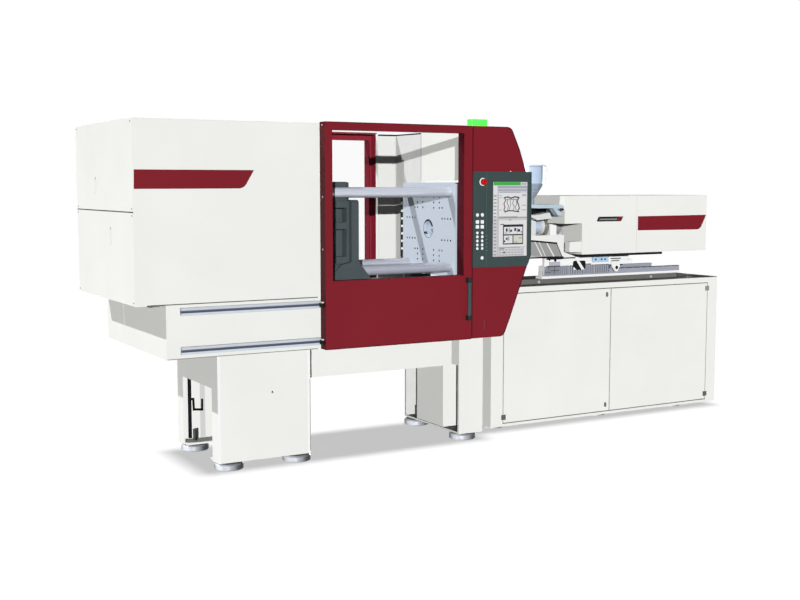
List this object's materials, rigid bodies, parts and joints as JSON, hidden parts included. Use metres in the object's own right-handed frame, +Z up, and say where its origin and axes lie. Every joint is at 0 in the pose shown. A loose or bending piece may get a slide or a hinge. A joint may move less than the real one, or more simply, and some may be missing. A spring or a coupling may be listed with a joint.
{
  "type": "injection moulding machine",
  "caption": "Horizontal injection moulding machine with a toggle clamp behind a sliding red guard door, control panel, hopper and injection unit on a cabinet base.",
  "frame": {"origin": "centre of the bounding box at the floor, under the levelling pads", "axes": "+X along the machine from the clamp end to the injection end, the operator stands on the -Y side, +Z up"},
  "size_m": [4.52, 1.45, 2.078],
  "materials": {
    "white_paint": "satin",
    "red_paint": "satin",
    "dark_red_edge": "satin",
    "dark_grey_paint": "matte",
    "light_grey_paint": "satin",
    "housing_plastic": "matte",
    "screen_glass": "gloss",
    "key_plastic": "matte",
    "signal_red": "gloss",
    "signal_green": "gloss",
    "black_plastic": "matte",
    "clear_pane": "clear",
    "steel": "machined",
    "hard_chrome": "polished",
    "platen_steel": "ground",
    "cast_dark": "painted",
    "cast_mid": "painted",
    "hopper_steel": "polished",
    "rail_aluminium": "anodised",
    "heater_metal": "brushed"
  },
  "bodies": {
    "frame": {"clamp_bed": "white_paint", "service_housing": "white_paint", "left_pedestal": "white_paint", "middle_leg": "white_paint", "levelling_feet": "steel", "clamp_cover": "white_paint", "cover_end_upper": "white_paint", "cover_end_lower": "white_paint", "door_rails": "rail_aluminium", "fixed_guard": "red_paint", "panel_housing": "housing_plastic", "screen": "screen_glass", "panel_keys": "key_plastic", "beacon": "signal_green", "rear_guard": "white_paint", "fixed_platen": "platen_steel", "tie_bars": "hard_chrome", "tie_bar_nuts": "steel", "end_platen": "cast_dark", "water_manifold": "black_plastic", "platen_rails": "steel", "injection_cabinet": "white_paint", "cabinet_hinges": "steel", "top_plate": "dark_grey_paint", "injection_base": "white_paint", "injection_rails": "steel", "clamp_drive": "cast_mid"},
    "front_door": {"front_door": "red_paint", "front_window": "clear_pane", "front_handle": "dark_grey_paint"},
    "rear_door": {"rear_door": "red_paint", "rear_window": "clear_pane"},
    "moving_platen": {"moving_platen": "cast_dark", "platen_shoes": "steel"},
    "ejector": {"ejector": "steel"},
    "crosshead": {"crosshead": "cast_mid"},
    "rear_link_upper": {"rear_link_upper": "cast_mid"},
    "rear_link_lower": {"rear_link_lower": "cast_mid"},
    "front_link_upper": {"front_link_upper": "cast_mid"},
    "front_link_lower": {"front_link_lower": "cast_mid"},
    "cross_link_upper": {"cross_link_upper": "steel"},
    "cross_link_lower": {"cross_link_lower": "steel"},
    "clamp_screw": {"clamp_screw": "steel"},
    "carriage": {"injection_carriage": "light_grey_paint", "throat_block": "light_grey_paint", "barrel": "steel", "heater_bands": "heater_metal", "nozzle": "steel", "hood_front": "white_paint", "hood_rear": "white_paint", "barrel_guard": "light_grey_paint"},
    "injection_plate": {"injection_plate": "cast_mid"},
    "plasticising_screw": {"plasticising_screw": "steel"},
    "hopper": {"hopper": "hopper_steel", "hopper_slide": "steel"},
    "cabinet_door_left": {"cabinet_door_left": "white_paint"},
    "cabinet_door_right": {"cabinet_door_right": "white_paint"},
    "lock_upper": {"lock_upper": "black_plastic"},
    "lock_lower": {"lock_lower": "black_plastic"},
    "e_stop": {"e_stop": "signal_red"}
  },
  "joints": [
    {"name": "front_door_slide", "type": "slide", "parent": "frame", "child": "front_door", "axis": [-1, 0, 0], "range_m": [0, 0.86]},
    {"name": "rear_door_slide", "type": "slide", "parent": "frame", "child": "rear_door", "axis": [-1, 0, 0], "range_m": [0, 0.86]},
    {"name": "platen_slide", "type": "slide", "parent": "frame", "child": "moving_platen", "axis": [1, 0, 0], "range_m": [0, 0.3875]},
    {"name": "ejector_slide", "type": "slide", "parent": "moving_platen", "child": "ejector", "axis": [1, 0, 0], "range_m": [0, 0.08]},
    {"name": "crosshead_slide", "type": "slide", "parent": "frame", "child": "crosshead", "axis": [1, 0, 0], "range_m": [0, 0.26613]},
    {"name": "rear_link_upper_pivot", "type": "hinge", "parent": "frame", "child": "rear_link_upper", "pos_m": [-1.275, -0.16, 1.682], "axis": [0, -1, 0], "range_deg": [0, 72.91]},
    {"name": "rear_link_lower_pivot", "type": "hinge", "parent": "frame", "child": "rear_link_lower", "pos_m": [-1.275, -0.16, 1.062], "axis": [0, 1, 0], "range_deg": [0, 72.91]},
    {"name": "front_link_upper_pivot", "type": "hinge", "parent": "moving_platen", "child": "front_link_upper", "pos_m": [-1.15335, -0.16, 1.682], "axis": [0, 1, 0], "range_deg": [0, 72.91]},
    {"name": "front_link_lower_pivot", "type": "hinge", "parent": "moving_platen", "child": "front_link_lower", "pos_m": [-1.15335, -0.16, 1.062], "axis": [0, -1, 0], "range_deg": [0, 72.91]},
    {"name": "cross_link_upper_pivot", "type": "hinge", "parent": "crosshead", "child": "cross_link_upper", "pos_m": [-1.455, -0.16, 1.422], "axis": [0, -1, 0], "range_deg": [0, 47.96]},
    {"name": "cross_link_lower_pivot", "type": "hinge", "parent": "crosshead", "child": "cross_link_lower", "pos_m": [-1.455, -0.16, 1.322], "axis": [0, 1, 0], "range_deg": [0, 47.96]},
    {"name": "clamp_screw_spin", "type": "hinge", "parent": "frame", "child": "clamp_screw", "pos_m": [-1.75, -0.16, 1.372], "axis": [1, 0, 0], "range_deg": [0, 2394.8]},
    {"name": "carriage_slide", "type": "slide", "parent": "frame", "child": "carriage", "axis": [1, 0, 0], "range_m": [0, 0.25]},
    {"name": "injection_plate_slide", "type": "slide", "parent": "carriage", "child": "injection_plate", "axis": [1, 0, 0], "range_m": [0, 0.15]},
    {"name": "screw_spin", "type": "hinge", "parent": "injection_plate", "child": "plasticising_screw", "pos_m": [1.155, -0.16, 1.372], "axis": [1, 0, 0], "continuous": true},
    {"name": "hopper_shift", "type": "slide", "parent": "carriage", "child": "hopper", "axis": [0, -1, 0], "range_m": [0, 0.1]},
    {"name": "cabinet_door_left_swing", "type": "hinge", "parent": "frame", "child": "cabinet_door_left", "pos_m": [0.313, -0.433, 0.5], "axis": [0, 0, -1], "range_deg": [0, 95]},
    {"name": "cabinet_door_right_swing", "type": "hinge", "parent": "frame", "child": "cabinet_door_right", "pos_m": [2.16, -0.433, 0.5], "axis": [0, 0, 1], "range_deg": [0, 110]},
    {"name": "lock_upper_turn", "type": "hinge", "parent": "cabinet_door_left", "child": "lock_upper", "pos_m": [1.195, -0.431, 0.89], "axis": [0, 1, 0], "range_deg": [0, 90]},
    {"name": "lock_lower_turn", "type": "hinge", "parent": "cabinet_door_left", "child": "lock_lower", "pos_m": [1.195, -0.431, 0.099], "axis": [0, 1, 0], "range_deg": [0, 90]},
    {"name": "e_stop_press", "type": "slide", "parent": "frame", "child": "e_stop", "axis": [0, 1, 0], "range_m": [0, 0.005]}
  ],
  "couplings": [
    {"joint": "crosshead_slide", "follows": "platen_slide", "ratio": 0.68653},
    {"joint": "rear_link_upper_pivot", "follows": "platen_slide", "rad_per_m": 3.2833},
    {"joint": "rear_link_lower_pivot", "follows": "platen_slide", "rad_per_m": 3.2833},
    {"joint": "front_link_upper_pivot", "follows": "platen_slide", "rad_per_m": 3.2833},
    {"joint": "front_link_lower_pivot", "follows": "platen_slide", "rad_per_m": 3.2833},
    {"joint": "cross_link_upper_pivot", "follows": "platen_slide", "rad_per_m": 2.1599},
    {"joint": "cross_link_lower_pivot", "follows": "platen_slide", "rad_per_m": 2.1599},
    {"joint": "clamp_screw_spin", "follows": "platen_slide", "rad_per_m": 107.84}
  ]
}
